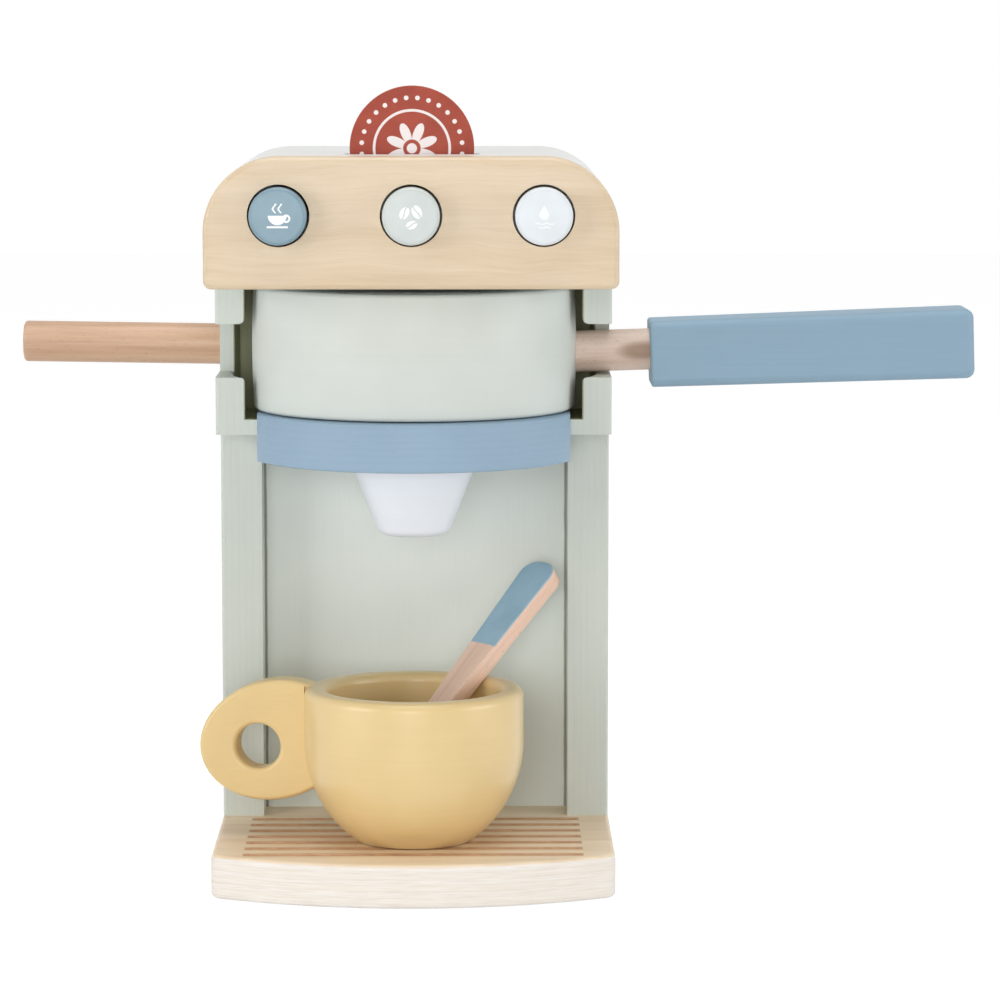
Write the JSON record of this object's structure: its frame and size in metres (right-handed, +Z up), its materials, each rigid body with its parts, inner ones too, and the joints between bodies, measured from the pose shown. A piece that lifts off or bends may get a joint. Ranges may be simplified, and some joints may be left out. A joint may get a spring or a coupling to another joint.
{
  "type": "toy coffee maker",
  "caption": "Wooden toy coffee maker with push buttons, a pull-out filter holder, coffee pads, a serving shelf with spout, a cup and a spoon.",
  "frame": {"origin": "centre of the base board's underside, on the surface that the toy stands on", "axes": "+Z up, -Y out of the front where the buttons are, +X towards the filter holder's grip, which is on the right as seen from the front"},
  "size_m": [0.2681, 0.097, 0.2208],
  "materials": {
    "base_wood": "clear satin lacquer on light plywood",
    "plate_wood": "clear satin lacquer on light plywood",
    "sage_paint": "matt pale grey-green paint",
    "drum_paint": "matt pale grey-green paint on a turned drum",
    "blue_paint": "matt grey-blue paint",
    "grip_paint": "matt grey-blue paint",
    "white_paint": "matt white paint",
    "pad_paint": "matt red-brown paint with a white print",
    "cup_paint": "matt pale yellow paint",
    "rod_wood": "clear satin lacquer on beech",
    "neck_wood": "clear satin lacquer on beech",
    "spoon_wood": "clear satin lacquer on beech, with grey-blue paint on the faces at the top",
    "dowel_wood": "raw beech",
    "button_blue_paint": "matt grey-blue paint with a white print",
    "button_sage_paint": "matt pale grey-green paint with a white print",
    "button_mint_paint": "matt mint-white paint with a white print",
    "screw_steel": "zinc-plated",
    "spring_steel": "bright spring wire"
  },
  "bodies": {
    "machine": {"base_board": "base_wood", "base_screws": "screw_steel", "left_side_panel": "sage_paint", "right_side_panel": "sage_paint", "back_panel": "sage_paint", "shelf_plate": "blue_paint", "shelf_dowels": "dowel_wood", "spout_cone": "white_paint", "spout_dowel": "dowel_wood", "side_rod": "rod_wood", "body_dowels": "dowel_wood", "head_front_plate": "plate_wood", "head_spring_board": "sage_paint", "head_slot_board": "sage_paint", "head_rear_block": "sage_paint", "head_dowels": "dowel_wood", "button_spring_left": "spring_steel", "button_spring_middle": "spring_steel", "button_spring_right": "spring_steel"},
    "left_button": {"button_left": "button_blue_paint"},
    "middle_button": {"button_middle": "button_sage_paint"},
    "right_button": {"button_right": "button_mint_paint"},
    "filter_holder": {"filter_drum": "drum_paint", "filter_neck": "neck_wood", "filter_grip": "grip_paint"},
    "filter_pad": {"pad_in_filter": "pad_paint"},
    "head_pad": {"pad_in_head": "pad_paint"},
    "cup": {"cup_bowl": "cup_paint", "cup_handle": "cup_paint", "cup_dowel": "dowel_wood"},
    "stirring_spoon": {"spoon": "spoon_wood"}
  },
  "joints": [
    {"name": "left_button_press", "type": "slide", "parent": "machine", "child": "left_button", "axis": [0, 1, 0], "range_m": [0, 0.003], "stiffness_N_per_m": 300, "springref_m": -0.002, "deforming": ["button_spring_left"]},
    {"name": "middle_button_press", "type": "slide", "parent": "machine", "child": "middle_button", "axis": [0, 1, 0], "range_m": [0, 0.003], "stiffness_N_per_m": 300, "springref_m": -0.002, "deforming": ["button_spring_middle"]},
    {"name": "right_button_press", "type": "slide", "parent": "machine", "child": "right_button", "axis": [0, 1, 0], "range_m": [0, 0.003], "stiffness_N_per_m": 300, "springref_m": -0.002, "deforming": ["button_spring_right"]},
    {"name": "filter_holder_pull", "type": "slide", "parent": "machine", "child": "filter_holder", "axis": [0, -1, 0], "range_m": [0, 0.075]},
    {"name": "filter_pad_lift", "type": "slide", "parent": "filter_holder", "child": "filter_pad", "axis": [0, 0, 1], "range_m": [0, 0.003]},
    {"name": "head_pad_lift", "type": "slide", "parent": "machine", "child": "head_pad", "axis": [0, 0, 1], "range_m": [0, 0.03]},
    {"name": "cup_pull", "type": "slide", "parent": "machine", "child": "cup", "axis": [0, -1, 0], "range_m": [0, 0.09]},
    {"name": "spoon_lift", "type": "slide", "parent": "cup", "child": "stirring_spoon", "axis": [0, 0, 1], "range_m": [0, 0.03]}
  ]
}
